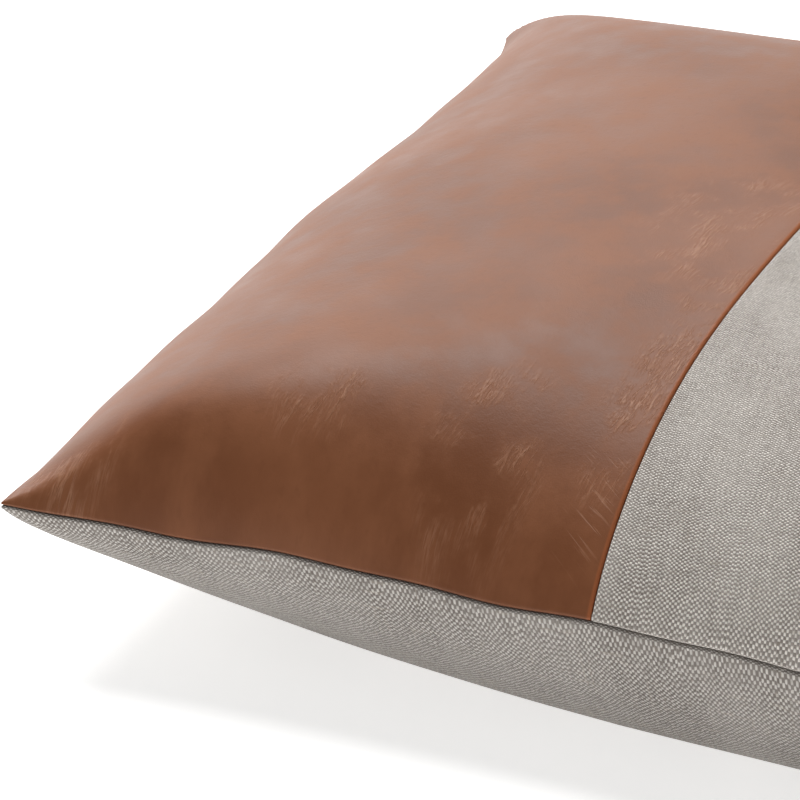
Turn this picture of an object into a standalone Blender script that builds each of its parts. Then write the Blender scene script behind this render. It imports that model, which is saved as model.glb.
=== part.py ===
# Square knife-edge throw pillow lying flat, with a leather and linen front, a linen back, a concealed zip
# in its right edge, and a feather insert. Metres, +Z up: X runs along the near edge, Y towards the far edge,
# and the surface that the pillow lies on is z = 0.

import math

import bmesh
import bpy

# outer form of the cover
corner_reach = 0.248  # centre to a corner tip, along X and along Y
edge_pull = 0.008  # how far an edge lies inside the corner tips before it flares
edge_bow = 0.001  # and how far it bows in between the flares
flare_start = 0.8  # share of each half edge that stays straight before it flares to the corner
seam_height = 0.062  # edge seam above the floor
crown_rise = 0.073  # top of the crown above the edge seam
belly_drop = 0.100  # how deep the lower half would bulge below the seam without the floor
belly_lean = 0.25  # the linen side is fuller than the leather side by this share
crown_power = 4.0
belly_power = 4.4
crown_blend = 7.0  # a high value keeps the diagonal ridges crisp
belly_blend = 1.1
floor_blend = 0.016
floor_press = 0.0006  # what hangs lower than this above the floor is pressed flat onto it

# sheet materials
leather_wall = 0.0012
linen_wall = 0.0008
ticking_wall = 0.0005
turning_width = 0.011  # seam allowance turned inside the cover
seam_gap = 0.0003

# feather insert
insert_inset = 0.022  # the insert stops this far short of the cover's edge
insert_clear = 0.0042  # and this far under the crown
floor_clear = 0.0014  # between the back panel and the insert's underside
filling_inset = 0.009
filling_clear = 0.0008

# concealed zip in the right edge, measured inward from the edge seam
zip_half = 0.185
tape_width = 0.0115
tape_thickness = 0.0004
tape_lift = 0.00195  # seam plane to the near face of a tape
coil_radius = 0.00065
coil_lift = 0.00115
coil_depth = 0.00495  # edge seam to the coil's centre line
slot_half = 0.0008  # half the height of the slit that the slider's neck runs in
slider_length = 0.009
slider_rest = -0.1755  # closed: the slider stands at the near end
pull_axis_out = 0.0010  # the pull's crossbar lies this far outside the edge seam
pull_length = 0.021

# sewing threads, which lie beside the layers that they join
thread_radius = 0.00025
zip_thread_radius = 0.0002
edge_thread_inset = 0.006
edge_thread_turns = (-0.085, 3.085)  # round the outline in sides, from one end of the zip to the other
panel_thread_inset = 0.014
insert_thread_inset = 0.004
zip_thread_inset = 0.0100

# woven labels
label_length = 0.024
label_half_width = 0.018
label_half_thickness = 0.00015
label_inset = 0.013
label_y = 0.10

cover_cells = 22
insert_cells = 16

# colour, roughness and, for metal, how metallic
leather_look = ((0.30, 0.135, 0.065), 0.42)
linen_look = ((0.60, 0.57, 0.52), 0.92)
ticking_look = ((0.82, 0.80, 0.76), 0.85)
filling_look = ((0.88, 0.87, 0.84), 0.95)
thread_look = ((0.50, 0.46, 0.40), 0.75)
tape_look = ((0.48, 0.45, 0.40), 0.88)
coil_look = ((0.52, 0.48, 0.42), 0.45)
metal_look = ((0.42, 0.33, 0.20), 0.32, 0.95)
label_look = ((0.85, 0.84, 0.81), 0.55)

edge_x = corner_reach - edge_pull - 0.7 * edge_bow  # the straight zip runs along the bow's mean line


def make_collection(name):
    collection = bpy.data.collections.new(name)
    bpy.context.scene.collection.children.link(collection)
    return collection


def clear_scene():
    for item in list(bpy.data.objects):
        bpy.data.objects.remove(item, do_unlink=True)


def make_material(name, colour, roughness, metallic=0.0):
    material = bpy.data.materials.new(name)
    material.use_nodes = True
    shader = material.node_tree.nodes["Principled BSDF"]
    shader.inputs["Base Color"].default_value = (*colour, 1.0)
    shader.inputs["Roughness"].default_value = roughness
    shader.inputs["Metallic"].default_value = metallic
    material.diffuse_color = (*colour, 1.0)
    return material


def place(item, collection, name):
    for owner in list(item.users_collection):
        owner.objects.unlink(item)
    collection.objects.link(item)
    item.name = name
    item.data.name = name
    return item


def finish_piece(item, name, look):
    place(item, parts, name)
    item.data.materials.clear()
    item.data.materials.append(make_material(name, *look))
    return item


def make_helper(item, name):
    place(item, helpers, name)
    item.hide_render = True
    item.display_type = "WIRE"
    return item


def add_box(low, high):
    size = [b - a for a, b in zip(low, high)]
    centre = [(a + b) / 2 for a, b in zip(low, high)]
    bpy.ops.mesh.primitive_cube_add(size=1, location=centre)
    box = bpy.context.object
    for vertex in box.data.vertices:
        vertex.co = [a * b for a, b in zip(vertex.co, size)]
    return box


def combine(item, other, operation):
    modifier = item.modifiers.new(f"{operation.lower()} {other.name}", "BOOLEAN")
    modifier.operation = operation
    modifier.solver = "EXACT"
    modifier.use_self = True
    modifier.object = other


# ---- the padded form, shared by cover, insert and filling ----


def form_sizes(inset=0.0, clear=0.0):
    return {
        "reach": corner_reach - inset,
        "rise": crown_rise - clear,
        "drop": belly_drop - clear,
        "floor": clear,
    }


def flare(u):
    return max(0.0, (abs(u) - flare_start) / (1 - flare_start)) ** 2


def fall_to_edges(s, t, power, blend):
    # 0 on the outline and 1 in the middle: the smooth minimum of the falls towards the nearer two edges
    across, along = 1 - abs(s) ** power, 1 - abs(t) ** power
    if min(across, along) < 1e-9:
        return 0.0
    return (across**-blend + along**-blend - 1) ** (-1 / blend)


def rest_on(height, floor):
    share = min(1.0, max(0.0, 0.5 + 0.5 * (height - floor) / floor_blend))
    eased = floor * (1 - share) + height * share + floor_blend * share * (1 - share)
    return eased if eased > floor + floor_press else floor


def edge_reach(sizes, u):
    return sizes["reach"] - edge_pull * (1 - flare(u)) - edge_bow * (1 - u * u)


def form_point(sizes, s, t, side):
    x = s * edge_reach(sizes, t)
    y = t * edge_reach(sizes, s)
    if side > 0:
        z = seam_height + sizes["rise"] * fall_to_edges(s, t, crown_power, crown_blend)
    else:
        depth = sizes["drop"] * (1 + belly_lean * s) * fall_to_edges(s, t, belly_power, belly_blend)
        z = rest_on(seam_height - depth, sizes["floor"]) if depth > 0 else seam_height
    return x, y, z


def spread(u):
    # cells get narrower towards the outline
    return u * (1.25 - 0.25 * u * u)


def add_form(name, sizes, cells, sides=(1, -1)):
    # one side is an open sheet, both sides make a closed body
    shape = bmesh.new()
    for side in sides:
        made = bmesh.ops.create_grid(shape, x_segments=cells, y_segments=cells, size=1.0)
        for vertex in made["verts"]:
            vertex.co = form_point(sizes, spread(vertex.co.x), spread(vertex.co.y), side)
        if side < 0:
            low = [face for vertex in made["verts"] for face in vertex.link_faces]
            bmesh.ops.reverse_faces(shape, faces=list(set(low)))
    bmesh.ops.remove_doubles(shape, verts=shape.verts, dist=1e-6)
    # the long diagonal of a corner cell is the one that climbs from the corner tip
    bmesh.ops.triangulate(shape, faces=shape.faces, quad_method="LONG_EDGE")
    mesh = bpy.data.meshes.new(name)
    shape.to_mesh(mesh)
    shape.free()
    mesh.shade_smooth()
    item = bpy.data.objects.new(name, mesh)
    parts.objects.link(item)
    return item


def hollow(item, wall):
    modifier = item.modifiers.new("wall", "SOLIDIFY")
    modifier.thickness = wall
    modifier.offset = -1
    modifier.use_even_offset = True


# ---- cover ----


def seam_turning(name, wall):
    # the allowance ring that lies along the seam plane, both sides of it
    sizes = form_sizes(linen_wall / 2, linen_wall / 2)
    ring = make_helper(add_form(name, sizes, cover_cells), name)
    half = wall + seam_gap / 2
    slab = add_box((-1, -1, seam_height - half), (1, 1, seam_height + half))
    reach = edge_reach(sizes, 0) - turning_width
    hole = add_box((-reach, -reach, 0), (reach, reach, 2 * seam_height))
    combine(ring, make_helper(slab, f"{name}_slab"), "INTERSECT")
    combine(ring, make_helper(hole, f"{name}_hole"), "DIFFERENCE")
    return ring


def panel_turning(name, wall):
    # the allowances of the panel seam, pressed open: a second layer under each panel beside the seam
    strip = make_helper(add_form(name, form_sizes(wall / 2, wall / 2), cover_cells, (1,)), name)
    hollow(strip, 1.5 * wall)
    band = add_box((-turning_width, -1, seam_height), (turning_width, 1, 1))
    combine(strip, make_helper(band, f"{name}_band"), "INTERSECT")
    return strip


def zip_cutters():
    # a tunnel for the chain and the slider, and a slit through the edge for the slider's neck
    tunnel_end = zip_half + 0.005
    cuts = {
        "chain_tunnel": (-0.017, -0.0039, 0.0026, tunnel_end),
        "slider_tunnel": (-0.0045, -0.0026, 0.00175, tunnel_end),
        "lip_clearing": (-0.0045, -0.0016, 0.00100, tunnel_end),
        "neck_slit": (-0.0030, 0.0030, slot_half, zip_half + 0.002),
    }
    made = []
    for name, (near, far, half, end) in cuts.items():
        box = add_box((edge_x + near, -end, seam_height - half), (edge_x + far, end, seam_height + half))
        made.append(make_helper(box, name))
    return made


def zip_turning(name, side):
    # the allowance that a zip tape is sewn to
    shelf = make_helper(add_form(name, form_sizes(linen_wall / 2, linen_wall / 2), cover_cells), name)
    heights = sorted(seam_height + side * lift for lift in (0.00265, 0.00265 + linen_wall))
    end = zip_half + 0.004
    box = add_box((edge_x - 0.013, -end, heights[0]), (edge_x + 0.01, end, heights[1]))
    combine(shelf, make_helper(box, f"{name}_block"), "INTERSECT")
    return shelf


def cover_panel(name, side, wall, low, high, look, pieces):
    panel = finish_piece(add_form(name, form_sizes(), cover_cells, (side,)), name, look)
    hollow(panel, wall)
    for other, operation in pieces:
        combine(panel, other, operation)
    half = make_helper(add_box(low, high), f"{name}_half")
    combine(panel, half, "INTERSECT")
    return panel


def build_cover():
    above = seam_height + seam_gap / 2
    below = seam_height - seam_gap / 2
    leather_ring = seam_turning("leather_turning", leather_wall)
    linen_ring = seam_turning("linen_turning", linen_wall)
    cuts = [(cutter, "DIFFERENCE") for cutter in zip_cutters()]
    cover_panel(
        "leather_front_panel", 1, leather_wall, (-1, -1, above), (-seam_gap / 2, 1, 1), leather_look,
        [(panel_turning("leather_seam_turning", leather_wall), "UNION"), (leather_ring, "UNION")],
    )
    cover_panel(
        "linen_front_panel", 1, linen_wall, (seam_gap / 2, -1, above), (1, 1, 1), linen_look,
        [(panel_turning("linen_seam_turning", linen_wall), "UNION"), (linen_ring, "UNION"), *cuts,
         (zip_turning("upper_zip_turning", 1), "UNION")],
    )
    cover_panel(
        "linen_back_panel", -1, linen_wall, (-1, -1, -1), (1, 1, below), linen_look,
        [(linen_ring, "UNION"), *cuts, (zip_turning("lower_zip_turning", -1), "UNION")],
    )


# ---- insert ----


def build_insert():
    sizes = form_sizes(insert_inset, insert_clear)
    sizes["floor"] = linen_wall + floor_clear
    halves = {
        "insert_top_ticking": (1, (-1, -1, seam_height + seam_gap / 2), (1, 1, 1)),
        "insert_bottom_ticking": (-1, (-1, -1, -1), (1, 1, seam_height - seam_gap / 2)),
    }
    for name, (side, low, high) in halves.items():
        shell = finish_piece(add_form(name, sizes, insert_cells, (side,)), name, ticking_look)
        hollow(shell, ticking_wall)
        combine(shell, make_helper(add_box(low, high), f"{name}_half"), "INTERSECT")
    core = form_sizes(insert_inset + filling_inset, insert_clear + ticking_wall + filling_clear)
    core["floor"] = sizes["floor"] + ticking_wall + filling_clear
    finish_piece(add_form("feather_filling", core, insert_cells), "feather_filling", filling_look)


# ---- sewing threads ----


def add_thread(name, points, look, cyclic=False, radius=thread_radius):
    curve = bpy.data.curves.new(name, "CURVE")
    curve.dimensions = "3D"
    curve.bevel_depth = radius
    curve.bevel_resolution = 2
    curve.use_fill_caps = not cyclic
    spline = curve.splines.new("POLY")
    spline.points.add(len(points) - 1)
    for point, place_at in zip(spline.points, points):
        point.co = (*place_at, 1.0)
    spline.use_cyclic_u = cyclic
    item = bpy.data.objects.new(name, curve)
    parts.objects.link(item)
    return finish_piece(item, name, look)


def outline_point(sizes, turn, inset, height):
    # a point inside the outline, turn running 0 to 4 once round from the near right corner, clockwise
    side = int(turn) % 4
    u = 1 - 2 * (turn - int(turn))
    s, t = [(u, -1), (-1, -u), (-u, 1), (1, u)][side]
    corner_inset = inset * (1 + abs(u) ** 8)
    x, y, _ = form_point(dict(sizes, reach=sizes["reach"] - corner_inset), s, t, 1)
    return x, y, height


def build_threads():
    above_turning = seam_height + seam_gap / 2 + leather_wall + seam_gap + thread_radius
    # the edge seam starts at the near end of the zip, runs round three edges and ends at its far end
    steps = 76
    first, last = edge_thread_turns
    turns = [first + (last - first) * k / steps for k in range(steps + 1)]
    route = [outline_point(form_sizes(), turn % 4, edge_thread_inset, above_turning) for turn in turns]
    add_thread("edge_seam_thread", route, thread_look)

    under = form_sizes(panel_thread_inset, 2.2 * leather_wall + seam_gap + thread_radius)
    rows = [-0.96 + 1.92 * k / 40 for k in range(41)]
    route = [form_point(under, 0.0, t, 1) for t in rows]
    add_thread("panel_seam_thread", route, thread_look)

    sizes = form_sizes(insert_inset)
    height = seam_height + seam_gap / 2 + ticking_wall + seam_gap + thread_radius
    steps = 48
    route = [outline_point(sizes, 4 * k / steps, insert_thread_inset, height) for k in range(steps)]
    add_thread("insert_seam_thread", route, thread_look, cyclic=True)

    for name, side in (("upper_zip_thread", 1), ("lower_zip_thread", -1)):
        height = seam_height + side * (tape_lift - seam_gap - zip_thread_radius)
        x = edge_x - zip_thread_inset
        route = [(x, -zip_half + 2 * zip_half * k / 8, height) for k in range(9)]
        add_thread(name, route, thread_look, radius=zip_thread_radius)


# ---- zip ----


def build_tapes_and_coils():
    for word, side in (("upper", 1), ("lower", -1)):
        heights = sorted(seam_height + side * lift for lift in (tape_lift, tape_lift + tape_thickness))
        near = edge_x - coil_depth + 0.0008
        end = zip_half + 0.003
        tape = add_box((near - tape_width, -end, heights[0]), (near, end, heights[1]))
        finish_piece(tape, f"zip_tape_{word}", tape_look)

        centre = (edge_x - coil_depth, 0, seam_height + side * coil_lift)
        coil_half = zip_half - 0.0040
        bpy.ops.mesh.primitive_cylinder_add(
            vertices=12, radius=coil_radius, depth=2 * coil_half, location=centre, rotation=(math.pi / 2, 0, 0)
        )
        coil = finish_piece(bpy.context.object, f"zip_coil_{word}", coil_look)
        coil.data.shade_smooth()
        coil.data.set_sharp_from_angle(angle=math.radians(40))

        stop = add_box(
            (centre[0] - 0.0009, -zip_half - 0.0005, centre[2] - 0.0007),
            (centre[0] + 0.0009, -zip_half + 0.0020, centre[2] + 0.0007),
        )
        soften(finish_piece(stop, f"zip_top_stop_{word}", metal_look), 0.0002)

    stop = add_box(
        (edge_x - coil_depth - 0.0010, zip_half - 0.0025, seam_height - 0.0017),
        (edge_x - coil_depth + 0.0010, zip_half + 0.0010, seam_height + 0.0017),
    )
    soften(finish_piece(stop, "zip_bottom_stop", metal_look), 0.0003)


def soften(item, width):
    modifier = item.modifiers.new("soft edges", "BEVEL")
    modifier.width = width
    modifier.segments = 1
    modifier.limit_method = "ANGLE"


def build_slider():
    # measured outward from the edge seam: back plate behind the coils, wedge post between them, face plate
    # in front of them, and the bridge that reaches out through the slit and carries the pull
    half = slider_length / 2
    plates = {
        "wedge_post": ((-0.0066, -0.0016, -0.0002), (-0.0033, 0.0016, 0.0002)),
        "face_plate": ((-0.0037, -half + 0.0005, -0.00135), (-0.0029, half - 0.0005, 0.00135)),
        "bridge": ((-0.0031, -0.0029, -0.0005), (0.0026, 0.0029, 0.0005)),
    }
    back = add_box((-0.0074, -half, -0.0017), (-0.0062, half, 0.0017))
    slider = finish_piece(back, "zip_slider", metal_look)
    centre = (edge_x, slider_rest, seam_height)
    slider.location = centre
    shift_mesh(slider, (-0.0068, 0, 0))
    for name, (low, high) in plates.items():
        plate = add_box(*[[a + b for a, b in zip(corner, centre)] for corner in (low, high)])
        combine(slider, make_helper(plate, name), "UNION")
    window = add_box(
        (edge_x - 0.0009, slider_rest - 0.0019, seam_height - 0.01),
        (edge_x + 0.0018, slider_rest + 0.0019, seam_height + 0.01),
    )
    combine(slider, make_helper(window, "bridge_window"), "DIFFERENCE")


def shift_mesh(item, by):
    for vertex in item.data.vertices:
        vertex.co = [a + b for a, b in zip(vertex.co, by)]


def pull_outline():
    # teardrop: a round end, straight tapering sides and a narrow eye end, along +X from the crossbar
    round_radius, eye_half, bar = 0.0028, 0.0020, 0.0004
    centre = pull_length - round_radius - bar
    arc = [math.radians(-84 + 168 * k / 12) for k in range(13)]
    points = [(centre + round_radius * math.cos(a), round_radius * math.sin(a)) for a in arc]
    points += [(0.0, eye_half), (-bar, eye_half - bar), (-bar, bar - eye_half), (0.0, -eye_half)]
    hole = [(bar, -0.00085), (bar, 0.00085), (0.0042, 0.00085), (0.0042, -0.00085)]
    return points, hole


def build_pull():
    # the crossbar is the hinge: it hangs in the bridge's window, and the tab lies along the closed zip
    curve = bpy.data.curves.new("zip_pull", "CURVE")
    curve.dimensions = "2D"
    curve.fill_mode = "BOTH"
    curve.extrude = 0.0004
    for outline in pull_outline():
        spline = curve.splines.new("POLY")
        spline.points.add(len(outline) - 1)
        for point, (x, y) in zip(spline.points, outline):
            point.co = (x, y, 0.0, 1.0)
        spline.use_cyclic_u = True
    pull = bpy.data.objects.new("zip_pull", curve)
    parts.objects.link(pull)
    pull.location = (edge_x + pull_axis_out, slider_rest, seam_height)
    pull.rotation_euler = (math.pi / 2, 0, math.pi / 2)
    finish_piece(pull, "zip_pull", metal_look)


# ---- labels ----


def channel_height(x, y):
    # midway between the cover and the insert, where the seam plane's upper side leaves room for a label
    heights = []
    for sizes in (form_sizes(), form_sizes(insert_inset, insert_clear)):
        middle = edge_reach(sizes, 0)
        s, t = x / middle, y / middle
        heights.append(form_point(sizes, s, t, 1)[2] if abs(s) < 1 else seam_height)
    return sum(heights) / 2


def build_label(name, side, look):
    near = side * (edge_x - label_inset)
    far = side * (edge_x - label_inset - label_length)
    heights = channel_height(near, label_y), channel_height(far, label_y)
    slope = math.atan2(heights[1] - heights[0], label_length)
    middle = ((near + far) / 2, label_y, sum(heights) / 2)
    size = (label_length / 2, label_half_width, label_half_thickness)
    label = add_box([-half for half in size], size)
    label.location = middle
    label.rotation_euler = (0, side * slope, 0)
    finish_piece(label, name, look)


clear_scene()
parts = make_collection("throw_pillow")
helpers = make_collection("cutters")
build_cover()
build_insert()
build_threads()
build_tapes_and_coils()
build_slider()
build_pull()
build_label("care_label", 1, label_look)
build_label("insert_label", -1, label_look)
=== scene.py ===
import math

import bmesh
import bpy
import numpy as np
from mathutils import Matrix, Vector, noise


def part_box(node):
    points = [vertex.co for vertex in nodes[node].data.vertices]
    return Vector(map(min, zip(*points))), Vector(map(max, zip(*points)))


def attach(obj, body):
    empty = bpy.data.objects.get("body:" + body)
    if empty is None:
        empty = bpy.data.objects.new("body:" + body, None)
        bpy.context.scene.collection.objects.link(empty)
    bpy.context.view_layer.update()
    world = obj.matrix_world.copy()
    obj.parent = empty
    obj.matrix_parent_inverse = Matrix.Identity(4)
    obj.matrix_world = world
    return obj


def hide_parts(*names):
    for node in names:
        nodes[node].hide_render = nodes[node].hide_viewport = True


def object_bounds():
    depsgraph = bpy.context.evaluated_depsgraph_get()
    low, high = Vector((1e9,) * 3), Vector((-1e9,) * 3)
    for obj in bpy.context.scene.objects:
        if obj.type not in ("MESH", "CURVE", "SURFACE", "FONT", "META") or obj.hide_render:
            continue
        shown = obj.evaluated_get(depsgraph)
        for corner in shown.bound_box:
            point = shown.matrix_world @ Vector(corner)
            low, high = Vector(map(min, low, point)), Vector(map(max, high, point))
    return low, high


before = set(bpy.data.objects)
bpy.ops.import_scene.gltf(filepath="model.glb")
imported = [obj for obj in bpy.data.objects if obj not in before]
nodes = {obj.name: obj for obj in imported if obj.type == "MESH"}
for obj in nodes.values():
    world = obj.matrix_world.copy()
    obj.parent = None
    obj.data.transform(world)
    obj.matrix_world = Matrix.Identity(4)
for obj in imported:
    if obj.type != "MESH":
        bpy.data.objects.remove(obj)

cadLow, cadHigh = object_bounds()
halfWidth = (cadHigh.x - cadLow.x) / 2
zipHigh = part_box("zip_tape_upper")[1]
zipMiddle = (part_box("zip_tape_lower")[0].z + zipHigh.z) / 2  # height of the seam along the zip
zipEnd = zipHigh.y
clothHalf = 0.254  # half the side of the flat 20 inch cover


class Wire:  # a socket that takes part in sums
    def __init__(self, look, socket):
        self.look, self.socket = look, socket

    def __add__(self, other): return self.look.sum("ADD", self, other)
    def __radd__(self, other): return self.look.sum("ADD", other, self)
    def __sub__(self, other): return self.look.sum("SUBTRACT", self, other)
    def __rsub__(self, other): return self.look.sum("SUBTRACT", other, self)
    def __mul__(self, other): return self.look.sum("MULTIPLY", self, other)
    def __rmul__(self, other): return self.look.sum("MULTIPLY", other, self)
    def __truediv__(self, other): return self.look.sum("DIVIDE", self, other)
    def __rtruediv__(self, other): return self.look.sum("DIVIDE", other, self)
    def __pow__(self, other): return self.look.sum("POWER", self, other)
    def __neg__(self): return self.look.sum("MULTIPLY", self, -1)
    def __abs__(self): return self.look.sum("ABSOLUTE", self)


class Look:  # one material under construction
    def __init__(self, name, **fixed):
        self.material = bpy.data.materials.new(name)
        self.material.use_nodes = True
        self.tree = self.material.node_tree
        self.shader = self.tree.nodes["Principled BSDF"]
        for socket, value in fixed.items():
            self.shader.inputs[socket.replace("_", " ")].default_value = value

    def feed(self, slot, value):
        if isinstance(value, Wire):
            self.tree.links.new(value.socket, slot)
        elif hasattr(slot.default_value, "__len__") and len(slot.default_value) == 4:
            slot.default_value = (*value, 1) if len(value) == 3 else value
        else:
            slot.default_value = value

    def node(self, kind, settings, values, out=0):
        made = self.tree.nodes.new("ShaderNode" + kind)
        for key, value in settings.items():
            setattr(made, key, value)
        for key, value in values.items():
            self.feed(made.inputs[key], value)
        return Wire(self, made.outputs[out])

    def sum(self, how, *values):
        return self.node("Math", {"operation": how}, dict(enumerate(values)))

    def sine(self, value): return self.sum("SINE", value)
    def floor(self, value): return self.sum("FLOOR", value)
    def least(self, a, b): return self.sum("MINIMUM", a, b)
    def most(self, a, b): return self.sum("MAXIMUM", a, b)

    def ease(self, value, low, high, to=(0, 1)):
        values = {0: value, 1: low, 2: high, 3: to[0], 4: to[1]}
        return self.node("MapRange", {"interpolation_type": "SMOOTHSTEP"}, values)

    def mix(self, share, a, b):
        return self.node("Mix", {"data_type": "RGBA"}, {0: share, 6: a, 7: b}, out=2)

    def join(self, x, y, z=0.0):
        return self.node("CombineXYZ", {}, {0: x, 1: y, 2: z})

    def split(self, vector):
        made = self.node("SeparateXYZ", {}, {0: vector}).socket.node
        return [Wire(self, socket) for socket in made.outputs]

    def place(self):
        return self.node("TexCoord", {}, {}, out="Object")

    def cloth(self):  # the flat cloth's own coordinates in metres
        return self.node("UVMap", {"uv_map": "cloth"}, {})

    def noise(self, at, scale, detail=2.0, rough=0.5):
        values = {"Vector": at, "Scale": scale, "Detail": detail, "Roughness": rough}
        return self.node("TexNoise", {}, values)

    def cells(self, at, scale):
        return self.node("TexVoronoi", {"feature": "F1"}, {"Vector": at, "Scale": scale})

    def stretch(self, at, size):
        return self.node("VectorMath", {"operation": "MULTIPLY"}, {0: at, 1: size})

    def finish(self, colour, roughness=None, height=None, depth=0.001, **more):
        self.feed(self.shader.inputs["Base Color"], colour)
        if roughness is not None:
            self.feed(self.shader.inputs["Roughness"], roughness)
        for socket, value in more.items():
            self.feed(self.shader.inputs[socket.replace("_", " ")], value)
        if height is not None:
            bump = self.node("Bump", {}, {"Distance": depth, "Height": height})
            self.feed(self.shader.inputs["Normal"], bump)
        return self.material


leather = {
    "tan": (0.222, 0.081, 0.034), "deep": (0.172, 0.059, 0.023), "warm": (0.275, 0.105, 0.046),
    # the edge colour is painted shade for the seams' dark creases; the orange colour after it is a painted
    # highlight along the panel seam
    "crease": (0.52, 0.28, 0.175), "edge": (0.045, 0.014, 0.008), "seamHighlight": (0.38, 0.115, 0.040),
    "roughness": 0.47, "pores": 1500, "grain": 420,
    # creases: middle across, middle along, half width, half length, in metres on the flat cloth
    "creases": [(-0.060, -0.215, 0.024, 0.040), (-0.012, -0.180, 0.014, 0.045),
                (-0.135, -0.212, 0.020, 0.020), (-0.008, -0.110, 0.014, 0.050),
                (-0.232, -0.240, 0.022, 0.022), (-0.030, -0.040, 0.030, 0.050)],
}


def leatherLook():
    look = Look("cognacLeather", Specular_IOR_Level=0.19, Coat_Roughness=0.4)
    flat = look.cloth()
    across, along, _ = look.split(flat)
    big = look.noise(flat, 9, 3)
    cloudy = look.noise(flat, 38, 4, 0.6)
    fine = look.noise(flat, 260, 3)
    # creases run along the hide, thin and pale, in a few clusters
    wander = look.noise(flat, 14, 2) * 0.020
    tilted = across - along * 0.12 + wander
    line = abs(look.noise(look.join(tilted * 150, along * 16), 1.0, 4, 0.62) - 0.5)
    second = abs(look.noise(look.join(tilted * 330 + 7, along * 45), 1.0, 4, 0.65) - 0.5)
    cluster = 0.0
    for midU, midV, wide, long in leather["creases"]:
        away = ((across - midU) / wide) ** 2 + ((along - midV) / long) ** 2
        cluster = cluster + look.ease(away, 1.6, 0.0)
    cluster = look.least(cluster, 1.0)
    patchy = look.ease(cloudy, 0.44, 0.62)
    crease = look.ease(line, 0.030, 0.0) * cluster * patchy
    wrinkle = look.ease(second, 0.055, 0.0) * cluster * patchy
    marks = look.least(crease + wrinkle * 0.75, 1.0)
    # short cross lines beside the panel seam, where the hide was stretched
    beside = look.ease(abs(across + 0.012), 0.013, 0.002) * look.ease(abs(along + 0.222), 0.030, 0.008)
    stretched = look.noise(look.join(across * 60, along * 900 + across * 500), 1.0, 1)
    pulled = look.ease(stretched, 0.60, 0.70) * beside
    # edges: a painted highlight in orange along the panel seam, and painted shade in the edge colour where
    # the rolled edges go into the seams
    seamHighlightMask = look.ease(across, -0.0022, -0.0008)
    # rim marks the rolled outer edges, which the edge colour darkens as painted shade of the seams
    rim = look.ease(look.most(abs(along), -across), clothHalf, clothHalf + 0.0012)
    colour = look.mix(look.ease(big, 0.35, 0.65), leather["deep"], leather["tan"])
    colour = look.mix(look.ease(cloudy, 0.35, 0.70) * 0.55, colour, leather["warm"])
    colour = look.mix(look.ease(fine, 0.55, 0.72) * 0.22, colour, leather["deep"])
    colour = look.mix(marks * 0.32 + pulled * 0.25, colour, leather["crease"])
    # painted highlight along the panel seam
    colour = look.mix(seamHighlightMask * 0.75, colour, leather["seamHighlight"])
    # painted shade where the edges roll into the edge seams
    colour = look.mix(rim * 0.8, colour, leather["edge"])
    pores = look.cells(flat, leather["pores"])
    grain = look.noise(flat, leather["grain"], 3, 0.65)
    height = grain * 0.35 + pores * 0.14 + marks * 0.75 - pulled * 0.35 + cloudy * 0.9
    even = leather["roughness"]
    rough = look.ease(cloudy, 0.3, 0.7, (even - 0.05, even + 0.07)) - marks * 0.05
    wax = look.ease(big, 0.3, 0.7, (0.0, 0.05))
    return look.finish(colour, rough, height, depth=0.00022, Coat_Weight=wax)


linen = {
    "light": (0.985, 0.93, 0.87), "mid": (0.69, 0.64, 0.585), "dark": (0.205, 0.172, 0.148),
    "slub": (0.47, 0.41, 0.335), "fleck": (0.26, 0.205, 0.155),
    # the last value darkens the back panel's copy of the linen: painted shade for the underside
    "acrossPitch": 0.00110, "alongPitch": 0.00060, "skew": 0.14, "backPaintedShade": 0.66,
}


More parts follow.
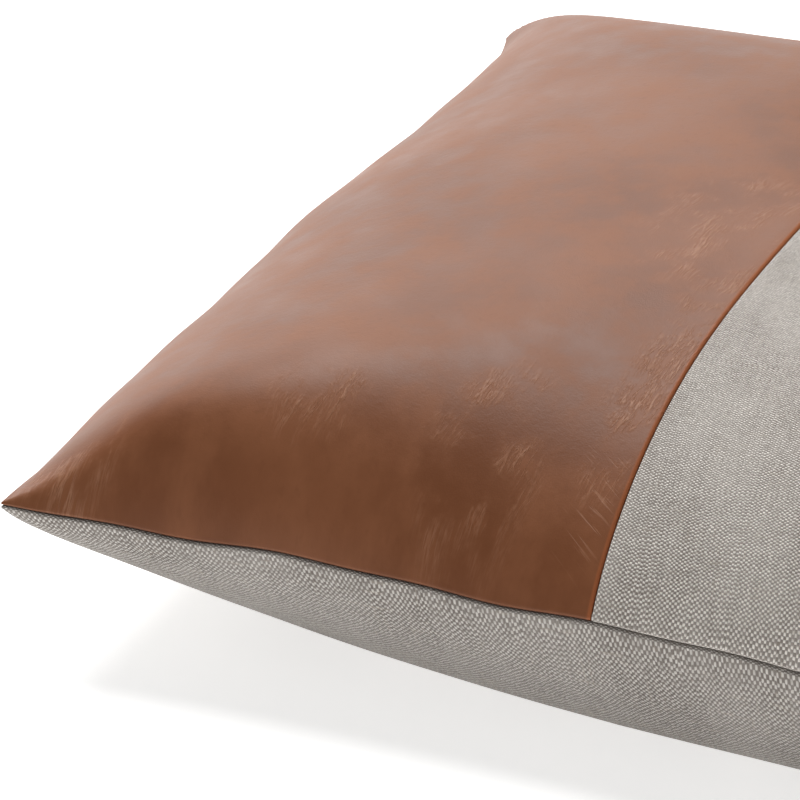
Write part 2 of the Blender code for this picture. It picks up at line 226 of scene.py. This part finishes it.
def linenLook(name, skew, paintedShade):
    look = Look(name, Specular_IOR_Level=0.18, Sheen_Weight=0.12, Sheen_Roughness=0.5)
    flat = look.cloth()
    across, along, _ = look.split(flat)
    drift = (look.noise(flat, 55, 2) - 0.5) * 0.0022 + (look.noise(flat, 420, 2) - 0.5) * 0.0007
    drift2 = (look.noise(look.stretch(flat, (1, 1.7, 1)), 47, 2) - 0.5) * 0.0020
    drift2 = drift2 + (look.noise(flat, 390, 2) - 0.5) * 0.0006
    warp = (across + along * skew + drift) / linen["acrossPitch"]
    weft = (along - across * skew * 0.12 + drift2) / linen["alongPitch"]
    warpThread = look.node("TexWhiteNoise", {"noise_dimensions": "1D"}, {"W": look.floor(warp)})
    weftThread = look.node("TexWhiteNoise", {"noise_dimensions": "1D"}, {"W": look.floor(weft) + 0.37})
    # no two threads cross evenly
    warp, weft = warp + (weftThread - 0.5) * 0.30, weft + (warpThread - 0.5) * 0.50
    over = look.sine(warp * math.pi) * look.sine(weft * math.pi)  # above zero where the warp lies on top
    dot = abs(over) ** 0.5
    top = look.ease(over, -0.30, 0.50)
    slubs = look.noise(look.join(across * 60, along * 900), 1.0, 2)
    slubs2 = look.noise(look.join(across * 900, along * 60), 1.0, 2)
    fluff = look.noise(flat, 2600, 2)
    tint = look.noise(flat, 22, 3, 0.6)
    speck = look.ease(look.noise(look.join(across * 420, along * 700), 1.0, 1), 0.66, 0.74)
    # every colour is scaled by the last argument: 1 on the front panel, less on the back panel, whose linen
    # is darkened as painted shade
    dark, mid, light = ([c * paintedShade for c in linen[key]] for key in ("dark", "mid", "light"))
    crossing = look.join(look.floor(warp), look.floor(weft))
    eachDot = look.node("TexWhiteNoise", {"noise_dimensions": "2D"}, {"Vector": crossing})
    shade = look.ease(look.noise(flat, 320, 2), 0.30, 0.70) * 0.6 + eachDot * 0.7
    colour = look.mix(look.least(top * (0.50 + shade * 0.6), 1.0), dark, light)
    # the gaps between the threads are darkened: painted shade in the weave
    colour = look.mix(look.ease(dot, 0.50, 0.15) * 0.45, colour, dark)
    colour = look.mix(look.ease(slubs, 0.58, 0.75) * 0.35, colour, linen["slub"])
    colour = look.mix(look.ease(slubs2, 0.58, 0.75) * 0.35, colour, linen["slub"])
    colour = look.mix(speck * 0.30, colour, linen["fleck"])
    colour = look.mix(warpThread * 0.16 + weftThread * 0.10, colour, mid)
    colour = look.mix(look.ease(tint, 0.3, 0.7) * 0.14, colour, light)
    height = dot * (0.35 + top * 0.75) + fluff * 0.18 + slubs * 0.35 + slubs2 * 0.3 + warpThread * 0.12
    rough = look.ease(dot, 0.0, 1.0, (0.95, 0.78))
    return look.finish(colour, rough, height, depth=0.00035)


def tickingLook():
    look = Look("cottonTicking", Specular_IOR_Level=0.25, Sheen_Weight=0.1)
    across, along, _ = look.split(look.place())
    twill = look.sine((across + along) * (math.pi * 2 / 0.0009)) * 0.5 + 0.5
    thread = look.sine((across - along * 0.3) * (math.pi * 2 / 0.00045)) * 0.5 + 0.5
    worn = look.noise(look.place(), 30, 3)
    colour = look.mix(twill * 0.5 + worn * 0.3, (0.66, 0.64, 0.59), (0.86, 0.85, 0.81))
    height = twill * 0.7 + thread * 0.3 + worn * 0.5
    return look.finish(colour, look.ease(worn, 0.3, 0.7, (0.72, 0.88)), height, 0.00018)


def fillingLook():
    look = Look("featherFilling", Specular_IOR_Level=0.2, Sheen_Weight=0.3)
    where = look.place()
    quills = look.noise(look.stretch(where, (90, 300, 200)), 1.0, 4, 0.65)
    tufts = look.cells(where, 110)
    colour = look.mix(quills, (0.62, 0.58, 0.50), (0.90, 0.88, 0.83))
    colour = look.mix(look.ease(tufts, 0.5, 0.9) * 0.3, colour, (0.50, 0.45, 0.38))
    return look.finish(colour, look.ease(quills, 0.3, 0.7, (0.8, 0.95)), quills + tufts * 0.6, 0.0012)


def threadLook(name, light, dark, pitch=0.0006):
    look = Look(name, Specular_IOR_Level=0.4, Sheen_Weight=0.15)
    x, y, z = look.split(look.place())
    twist = look.sine((x + y + z * 1.6) * (math.pi * 2 / pitch)) * 0.5 + 0.5
    fuzz = look.noise(look.place(), 1800, 2)
    colour = look.mix(twist * 0.7 + fuzz * 0.3, dark, light)
    return look.finish(colour, look.ease(fuzz, 0.3, 0.7, (0.5, 0.7)), twist + fuzz * 0.3, 0.0001)


def tapeLook():
    look = Look("wovenZipTape", Specular_IOR_Level=0.25, Sheen_Weight=0.1)
    x, y, _ = look.split(look.place())
    zigzag = abs(look.sine(x * (math.pi / 0.0024))) * 0.0012
    chevron = look.sine((y + zigzag) * (math.pi * 2 / 0.0008)) * 0.5 + 0.5
    ribs = look.sine(x * (math.pi * 2 / 0.0006)) * 0.5 + 0.5
    fuzz = look.noise(look.place(), 900, 2)
    colour = look.mix(chevron * 0.6 + fuzz * 0.4, (0.36, 0.33, 0.28), (0.60, 0.57, 0.50))
    height = chevron * 0.7 + ribs * 0.3 + fuzz * 0.2
    return look.finish(colour, look.ease(fuzz, 0.3, 0.7, (0.7, 0.85)), height, 0.00015)


def coilLook():
    look = Look("nylonCoil", Specular_IOR_Level=0.5)
    worn = look.noise(look.place(), 700, 3)
    colour = look.mix(worn, (0.42, 0.39, 0.33), (0.62, 0.59, 0.52))
    return look.finish(colour, look.ease(worn, 0.3, 0.7, (0.30, 0.46)), worn, 0.00004)


def brassLook(name, bright, dull):
    look = Look(name, Metallic=1.0)
    where = look.place()
    brushed = look.noise(look.stretch(where, (2500, 260, 2500)), 1.0, 3)
    patina = look.noise(where, 420, 4, 0.6)
    colour = look.mix(look.ease(patina, 0.42, 0.68), bright, dull)
    rough = look.ease(brushed, 0.3, 0.7, (0.22, 0.36)) + look.ease(patina, 0.5, 0.8) * 0.2
    return look.finish(colour, rough, brushed * 0.5 + patina, 0.00004)


def labelLook():
    look = Look("satinLabel", Specular_IOR_Level=0.45, Sheen_Weight=0.2)
    y = look.split(look.place())[1]
    rib = look.sine(y * (math.pi * 2 / 0.0005)) * 0.5 + 0.5
    fuzz = look.noise(look.place(), 600, 2)
    colour = look.mix(rib * 0.5 + fuzz * 0.4, (0.78, 0.76, 0.71), (0.90, 0.89, 0.86))
    return look.finish(colour, look.ease(fuzz, 0.3, 0.7, (0.38, 0.5)), rib, 0.00006)


print("finishes ready")


cover = {
    "reach": halfWidth - 0.0028, "pull": 0.0101, "flareStart": 0.33,
    "zipPull": 0.0, "zipBow": 0.001, "leftPull": 0.0005, "leftFarPull": 0.0085, "sideFlare": 0.78,
    "seam": zipMiddle, "tilt": 0.003, "tiltEnd": 0.235, "tiltOver": 0.10,
    "crownRise": 0.0730, "crownPower": 3.607, "crownSidePower": 3.0, "crownFarPower": 5.0,
    "crownNearLift": 4.5, "crownEase": 0.756, "crownBlend": 5.49,
    "cornerDrop": 0.60, "cornerAcross": 0.050, "cornerAlong": 0.026,
    "bellyDrop": 0.119, "bellyPower": 3.665, "bellyEase": 0.713, "bellyBlend": 1.03, "bellyLean": 0.37,
    "floor": 0.0, "floorBlend": 0.012, "lip": 0.0013, "cell": 0.0034,
    "gap": 0.00018, "zipGap": 0.00095, "zipLip": 0.0024, "turning": 0.0105,
    "leatherWall": 0.0012, "leatherLip": 0.00135, "linenWall": 0.0008, "linenLip": 0.00105, "fill": 0.6,
}
cover["zipPull"] = cover["reach"] - (zipHigh.x + 0.00485)  # the right edge lies where the zip needs it


def smooth(x):
    x = np.clip(x, 0, 1)
    return x * x * (3 - 2 * x)


def flare(u, start):
    return (np.clip(np.abs(u) - start, 0, None) / (1 - start)) ** 2


def fallOff(s, t, power, blend, ease, sidePower=None, farPower=None, nearLift=0.0):
    # the sides fall away more gently than the near edge, and the far side stays full for longest at mid width
    across = np.clip(1 - np.abs(s) ** (sidePower or power), 1e-9, 1)
    far = power + ((farPower or power) - power) * (1 - smooth(np.abs(s) * 1.1))
    near = power + nearLift * smooth(np.abs(s) * 1.1)
    along = np.clip(1 - np.abs(t) ** np.where(t > 0, far, near), 1e-9, 1)
    return np.clip(across**-blend + along**-blend - 1, 1, None) ** (-ease / blend)


def outline(pad, s, t):  # how far the side edges stand out at t, and the near and far edges at s
    bowX = np.where(s > 0, pad["zipPull"], pad["leftPull"] + pad["leftFarPull"] * smooth(t * 1.5))
    reachX = pad["reach"] - bowX * (1 - flare(t, pad["sideFlare"])) - pad["zipBow"] * (1 - t * t) * (s > 0)
    reachY = pad["reach"] - pad["pull"] * (1 - flare(s, pad["flareStart"]))
    return reachX, reachY


def zipShare(s, y):  # 1 in the lips of the zip's slit
    return smooth((s - 0.90) / 0.07) * smooth((zipEnd + 0.004 - np.abs(y)) / 0.005)


def seamHeight(pad, x, y):
    return pad["seam"] + pad["tilt"] * smooth((pad["tiltEnd"] - x) / pad["tiltOver"])


def ripple(pad, x, y, dx, dy):  # the edge seam waves a little, least along the zip
    near = 0.0008 * np.sin(x * 46 + 0.6) + 0.0005 * np.sin(x * 97 + 2.0)
    far = 0.0009 * np.sin(x * 41 + 2.2) + 0.0005 * np.sin(x * 88)
    left = 0.0009 * np.sin(y * 43 + 1.1) + 0.0005 * np.sin(y * 103 + 0.4)
    nearFar = np.where(y < 0, near, far) * np.exp(-dy / 0.022)
    return nearFar + left * np.exp(-dx / 0.022) * (x < 0)


def padPoint(pad, s, t, side):
    reachX, reachY = outline(pad, s, t)
    x, y = s * reachX, t * reachY
    dx, dy = np.clip(reachX - np.abs(x), 1e-7, None), np.clip(reachY - np.abs(y), 1e-7, None)
    inside = (dx**-4 + dy**-4) ** -0.25
    zipped = zipShare(s, y) if pad["zipLip"] > pad["lip"] else 0 * s
    corner = np.abs(s * t) ** 10
    radius = (pad["lip"] + (pad["zipLip"] - pad["lip"]) * zipped) * (1 - 0.45 * corner)
    held = np.minimum(inside, radius)
    lip = radius + np.sqrt(np.clip(radius**2 - (radius - held) ** 2, 0, None))
    base = seamHeight(pad, x, y) + ripple(pad, x, y, dx, dy)
    gap = pad["gap"] + (pad["zipGap"] - pad["gap"]) * zipped
    if side > 0:
        rise = pad["crownRise"] * fallOff(s, t, pad["crownPower"], pad["crownBlend"], pad["crownEase"],
                                         pad["crownSidePower"], pad["crownFarPower"], pad["crownNearLift"])
        fromCorner = ((x + reachX) / pad["cornerAcross"]) ** 2 + ((y + reachY) / pad["cornerAlong"]) ** 2
        rise = rise * (1 - pad["cornerDrop"] * np.exp(-fromCorner))  # the near left corner lies flatter
        z = base + gap + (rise**4 + lip**4) ** 0.25
    else:
        drop = pad["bellyDrop"] * (1 + np.where(s < 0, pad["bellyLean"], pad["bellyLean"] * 0.35) * s)
        drop = drop * fallOff(s, t, pad["bellyPower"], pad["bellyBlend"], pad["bellyEase"])
        depth = (drop**4 + lip**4) ** 0.25
        free = base - gap - depth
        share = np.clip(0.5 + 0.5 * (free - pad["floor"]) / pad["floorBlend"], 0, 1)
        z = pad["floor"] * (1 - share) + free * share + pad["floorBlend"] * share * (1 - share)
    return np.stack([x, y, z], -1), base, gap, radius


rollAngles = np.radians([14, 32, 50, 70, 90])  # steps of an edge that rolls inward
turnRows = np.array([0.24, 0.5, 1.0])  # rows of the allowance behind it, as shares of its width
edgeRows = np.array([0, 0.00012, 0.0005, 0.0011, 0.0019, 0.0029, 0.0042, 0.0060])  # rows close to an edge
turns = len(rollAngles) + len(turnRows)


def stops(pad, low, high):  # values from low to high, closer together beside an edge
    fine = edgeRows / pad["reach"]
    first, last = low + fine, high - fine[::-1]
    count = max(2, round((last[0] - first[-1]) * pad["reach"] / pad["cell"]))
    return np.concatenate([first, np.linspace(first[-1], last[0], count + 1)[1:-1], last])


def cutSheet(name, pad, side, low, high):
    # a grid whose inner rows are the panel's face, and whose outer rows are its turned edges
    sFace, tFace = stops(pad, low, high), stops(pad, -1, 1)
    nS, nT = len(sFace) + 2 * turns, len(tFace) + 2 * turns
    bpy.ops.object.select_all(action="DESELECT")
    bpy.ops.mesh.primitive_grid_add(x_subdivisions=nS - 1, y_subdivisions=nT - 1, size=2)
    panel = bpy.context.object
    panel.name = panel.data.name = name
    at = np.empty(len(panel.data.vertices) * 3)
    panel.data.vertices.foreach_get("co", at)
    at = at.reshape(-1, 3)
    i = np.rint((at[:, 0] + 1) / 2 * (nS - 1)).astype(int)
    j = np.rint((at[:, 1] + 1) / 2 * (nT - 1)).astype(int)
    row = np.clip(j - turns, 0, len(tFace) - 1)
    s, t = sFace[np.clip(i - turns, 0, len(sFace) - 1)], tFace[row]
    co, base, gap, radius = padPoint(pad, s, t, side)
    profile = padPoint(pad, 0 * tFace, tFace, side)[0]  # the face's own line along the panel seam
    rowY, rowZ = np.gradient(profile[:, 1]), np.gradient(profile[:, 2])
    outY, outZ = (-rowZ / np.hypot(rowY, rowZ))[row], (rowY / np.hypot(rowY, rowZ))[row]
    return panel, {
        "s": s, "t": t, "co": co, "base": base, "gap": gap, "radius": radius, "outY": outY, "outZ": outZ,
        "stepS": np.maximum(turns - i, 0) + np.maximum(i - (nS - 1 - turns), 0),
        "stepT": np.maximum(turns - j, 0) + np.maximum(j - (nT - 1 - turns), 0),
        "endS": np.where(i < turns, -1, np.where(i > nS - 1 - turns, 1, 0)),
        "flat": [s * clothHalf, t * clothHalf],
    }


def dipSeam(pad, sheet, towards, seamLip):
    # along the seam across the middle the face swells a little, then rolls down between the panels
    fromSeam = np.abs(sheet["s"]) * pad["reach"]
    near = np.minimum(fromSeam, seamLip)
    dip = seamLip - np.sqrt(np.clip(seamLip**2 - (seamLip - near) ** 2, 0, None))
    swell = seamLip * 0.15 * np.exp(-((fromSeam - 0.005) / 0.0045) ** 2)
    fadeOut = smooth((1 - np.abs(sheet["t"])) / 0.012)
    sunk = (swell - dip) * (0.25 + 0.75 * fadeOut)
    sheet["co"][:, 1] += sunk * sheet["outY"]
    sheet["co"][:, 2] += sunk * sheet["outZ"]
    sheet["co"][:, 0] += towards * pad["gap"] * np.exp(-fromSeam / 0.004)


def rollEdges(pad, sheet, side, step, angle, extra):
    # one row further round the cover's four edges
    co, face = sheet["co"], (sheet["stepS"] == 0, sheet["stepT"] == 0)
    besideX = (sheet["stepS"] == step) & face[1] & (np.abs(sheet["s"]) > 0.5)
    besideY = (sheet["stepT"] == step) & face[0]
    for which, alongEdge, axis in ((besideX, sheet["t"], 0), (besideY, sheet["s"], 1)):
        r = sheet["radius"][which]
        moved = r * (1 - math.cos(angle)) + extra
        lift = r - r * math.sin(angle) + sheet["gap"][which]
        if axis == 0 and pad["zipLip"] > pad["lip"]:  # the zip's tape lies between the allowances
            inZip = zipShare(sheet["s"][which], co[which, 1])
            lift = lift + inZip * smooth(extra / 0.0025) * 0.0021
        sign = np.sign(co[which, axis])
        u = alongEdge[which]
        co[which, axis] -= sign * moved
        co[which, 1 - axis] -= np.sign(u) * np.abs(u) ** 8 * moved
        co[which, 2] = sheet["base"][which] + side * lift
        sheet["flat"][axis][which] += sign * (r * angle + extra)


def rollSeam(pad, sheet, side, step, angle, extra, seamLip):
    # one row further round the panel seam's own edge
    atSeam = (sheet["stepS"] == step) & (sheet["stepT"] == 0) & (np.abs(sheet["s"]) < 0.5)
    away = np.where(sheet["endS"][atSeam] > 0, -1, 1)
    moved = seamLip * (1 - math.cos(angle)) + extra
    under = seamLip + seamLip * math.sin(angle)
    shifted, base, _, _ = padPoint(pad, away * moved / pad["reach"], sheet["t"][atSeam], side)
    lowest = base + 0.0004 + 0.00003 * step
    y = shifted[:, 1] - under * sheet["outY"][atSeam]
    z = np.maximum(shifted[:, 2] - under * sheet["outZ"][atSeam], lowest)
    sheet["co"][atSeam] = np.stack([shifted[:, 0] + away * pad["gap"], y, z], -1)
    sheet["flat"][0][atSeam] = -away * (seamLip * angle + extra)


def sewnPanel(name, pad, side, low, high, seamLip):
    # one cut panel: its face, its edges rolled inward, and the allowance that lies inside the cover
    panel, sheet = cutSheet(name, pad, side, low, high)
    if seamLip:
        dipSeam(pad, sheet, -1 if high <= 0 else 1, seamLip)
    steps = [(angle, 0.0) for angle in rollAngles]
    steps += [(math.pi / 2, pad["turning"] * share) for share in turnRows]
    for step, (angle, extra) in enumerate(steps, 1):
        rollEdges(pad, sheet, side, step, angle, extra)
        if seamLip:
            rollSeam(pad, sheet, side, step, angle, extra, seamLip)
    panel.data.vertices.foreach_set("co", sheet["co"].ravel())
    uv = panel.data.uv_layers[0]
    uv.name = "cloth"
    corner = np.empty(len(panel.data.loops), dtype=int)
    panel.data.loops.foreach_get("vertex_index", corner)
    uv.data.foreach_set("uv", np.stack([flat[corner] for flat in sheet["flat"]], -1).ravel())
    mesh = bmesh.new()
    mesh.from_mesh(panel.data)
    mesh.verts.ensure_lookup_table()
    blocks = np.flatnonzero((sheet["stepS"] > 0) & (sheet["stepT"] > 0))  # the corners are notched out
    bmesh.ops.delete(mesh, geom=[mesh.verts[k] for k in blocks], context="VERTS")
    bmesh.ops.remove_doubles(mesh, verts=mesh.verts, dist=2e-6)
    if side < 0:
        bmesh.ops.reverse_faces(mesh, faces=mesh.faces)
    mesh.to_mesh(panel.data)
    mesh.free()
    panel.data.shade_smooth()
    return panel


def wallUp(piece, wall):
    modifier = piece.modifiers.new("wall", "SOLIDIFY")
    modifier.thickness = wall
    modifier.offset = -1
    modifier.use_even_offset = False
    bpy.context.view_layer.objects.active = piece
    bpy.ops.object.modifier_apply(modifier="wall")
    piece.data.shade_smooth()


def dress(piece, material):
    piece.data.materials.clear()
    piece.data.materials.append(material)
    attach(piece, "cover")


def buildCover():
    frontLinen = linenLook("naturalLinen", linen["skew"], 1.0)
    # the back panel's linen is a darker copy of the front's: painted shade for the underside
    backLinen = linenLook("naturalLinenBackShaded", -linen["skew"], linen["backPaintedShade"])
    panels = (
        ("leatherFront", "leather_front_panel", 1, -1, 0, cover["leatherWall"], cover["leatherLip"],
         leatherLook(), "cognac_leather"),
        ("linenFront", "linen_front_panel", 1, 0, 1, cover["linenWall"], cover["linenLip"],
         frontLinen, "linen"),
        ("linenBack", "linen_back_panel", -1, -1, 1, cover["linenWall"], 0.0, backLinen, "linen"),
    )
    for name, node, side, low, high, wall, seamLip, material, slot in panels:
        panel = sewnPanel(name, cover, side, low, high, seamLip)
        wallUp(panel, wall)
        dress(panel, material)
        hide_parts(node)
        print("panel", name, len(panel.data.polygons))


buildCover()


insert = dict(cover, reach=halfWidth - 0.0245, zipPull=cover["pull"], crownRise=cover["crownRise"] - 0.0045,
              bellyDrop=0.111, floor=0.0022, lip=0.0010, zipLip=0.0010, zipGap=cover["gap"], cell=0.0075,
              turning=0.007, tickingWall=0.0005, fill=0.7)
filling = dict(insert, reach=halfWidth - 0.0345, crownRise=insert["crownRise"] - 0.003, floor=0.0042,
               bellyDrop=0.104, fill=0.75)


def buildInsert():
    look = tickingLook()
    sides = (("insertTop", "insert_top_ticking", 1), ("insertBottom", "insert_bottom_ticking", -1))
    for name, node, side in sides:
        shell = sewnPanel(name, insert, side, -1, 1, 0.0)
        wallUp(shell, insert["tickingWall"])
        dress(shell, look)
        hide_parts(node)
    print("insert ticking")


def buildFilling():
    halves = []
    for side in (1, -1):
        bpy.ops.object.select_all(action="DESELECT")
        bpy.ops.mesh.primitive_grid_add(x_subdivisions=64, y_subdivisions=64, size=2)
        half = bpy.context.object
        co = np.empty(len(half.data.vertices) * 3)
        half.data.vertices.foreach_get("co", co)
        co = co.reshape(-1, 3)
        edge = np.maximum(np.abs(co[:, 0]), np.abs(co[:, 1])) > 0.9999
        made, base, _, _ = padPoint(filling, co[:, 0], co[:, 1], side)
        made[edge, 2] = base[edge]
        half.data.vertices.foreach_set("co", made.ravel())
        if side < 0:
            half.data.flip_normals()
        halves.append(half)
    for half in halves:
        half.select_set(True)
    bpy.context.view_layer.objects.active = halves[0]
    bpy.ops.object.join()
    core = bpy.context.object
    core.name = core.data.name = "featherFilling"
    bpy.ops.object.mode_set(mode="EDIT")
    bpy.ops.mesh.select_all(action="SELECT")
    bpy.ops.mesh.remove_doubles(threshold=0.0001)
    bpy.ops.mesh.normals_make_consistent(inside=False)
    bpy.ops.object.mode_set(mode="OBJECT")
    lumps = core.data
    for vertex in lumps.vertices:  # clumps of feathers
        at = vertex.co
        share = min(1.0, max(0.0, (at.z - 0.010) / 0.02))
        vertex.co = at - Vector((0, 0, 1)) * share * 0.0016 * (1 + noise.noise(at * 55))
    core.data.shade_smooth()
    dress(core, fillingLook())
    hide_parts("feather_filling")
    print("filling")


buildInsert()
buildFilling()


def paint(names, material):
    for name in names:
        mesh = nodes[name].data
        mesh.materials.clear()
        mesh.materials.append(material)


paint(["edge_seam_thread", "panel_seam_thread"],
      threadLook("seamThread", (0.52, 0.45, 0.36), (0.30, 0.24, 0.18)))
paint(["insert_seam_thread"], threadLook("insertThread", (0.86, 0.84, 0.79), (0.62, 0.60, 0.55)))
paint(["upper_zip_thread", "lower_zip_thread"],
      threadLook("zipThread", (0.66, 0.62, 0.54), (0.42, 0.38, 0.32)))
paint(["zip_tape_upper", "zip_tape_lower"], tapeLook())
paint(["zip_coil_upper", "zip_coil_lower"], coilLook())
brass = brassLook("agedBrass", (0.60, 0.43, 0.20), (0.36, 0.24, 0.11))
paint(["zip_slider", "zip_pull", "zip_bottom_stop", "zip_top_stop_upper", "zip_top_stop_lower"], brass)
paint(["care_label", "insert_label"], labelLook())
print("small parts painted")


studio = {
    "floor": (0.90, 0.90, 0.895), "glow": 0.60, "world": 0.22,
    "key": 3.6, "keyFrom": (-0.28, 0.45, 0.86), "keyAngle": 40,
    "rim": 1.0, "rimFrom": (-0.62, 0.80, 0.14), "rimAngle": 45,
    "azimuth": 24.55, "elevation": 27.55, "distance": 2.516, "lens": 281.5,
    "lookAt": (-0.1411, -0.0985, 0.065),
}


def buildStudio():
    bpy.ops.object.select_all(action="DESELECT")
    bpy.ops.mesh.primitive_plane_add(size=30)
    floor = bpy.context.object
    floor.name = "floor"
    look = Look("paleFloor", Roughness=0.9, Specular_IOR_Level=0.1, Emission_Color=(1, 1, 1, 1),
                Emission_Strength=studio["glow"])  # a softly lit table
    grey = look.noise(look.place(), 1.5, 2)
    floor.data.materials.append(look.finish(look.mix(grey * 0.05, studio["floor"], (0.85, 0.85, 0.85))))
    world = bpy.data.worlds.new("softRoom")
    bpy.context.scene.world = world
    world.use_nodes = True
    world.node_tree.nodes["Background"].inputs["Color"].default_value = (1.0, 0.995, 0.985, 1)
    world.node_tree.nodes["Background"].inputs["Strength"].default_value = studio["world"]
    for name in ("key", "rim"):  # a wide light overhead, and a low one behind the left side
        bpy.ops.object.light_add(type="SUN")
        lamp = bpy.context.object
        lamp.name = name + "Light"
        lamp.data.energy = studio[name]
        lamp.data.angle = math.radians(studio[name + "Angle"])
        lamp.rotation_euler = Vector(studio[name + "From"]).to_track_quat("Z", "Y").to_euler()
    bpy.context.scene.view_settings.view_transform = "Standard"
    bpy.context.scene.view_settings.look = "None"
    a, e = math.radians(studio["azimuth"]), math.radians(studio["elevation"])
    back = Vector((math.sin(a) * math.cos(e), -math.cos(a) * math.cos(e), math.sin(e)))
    bpy.ops.object.camera_add(location=back * studio["distance"] + Vector(studio["lookAt"]))
    camera = bpy.context.object
    camera.data.lens = studio["lens"]
    camera.data.clip_end = 60
    camera.rotation_euler = back.to_track_quat("Z", "Y").to_euler()
    bpy.context.scene.camera = camera
    print("studio ready")


buildStudio()
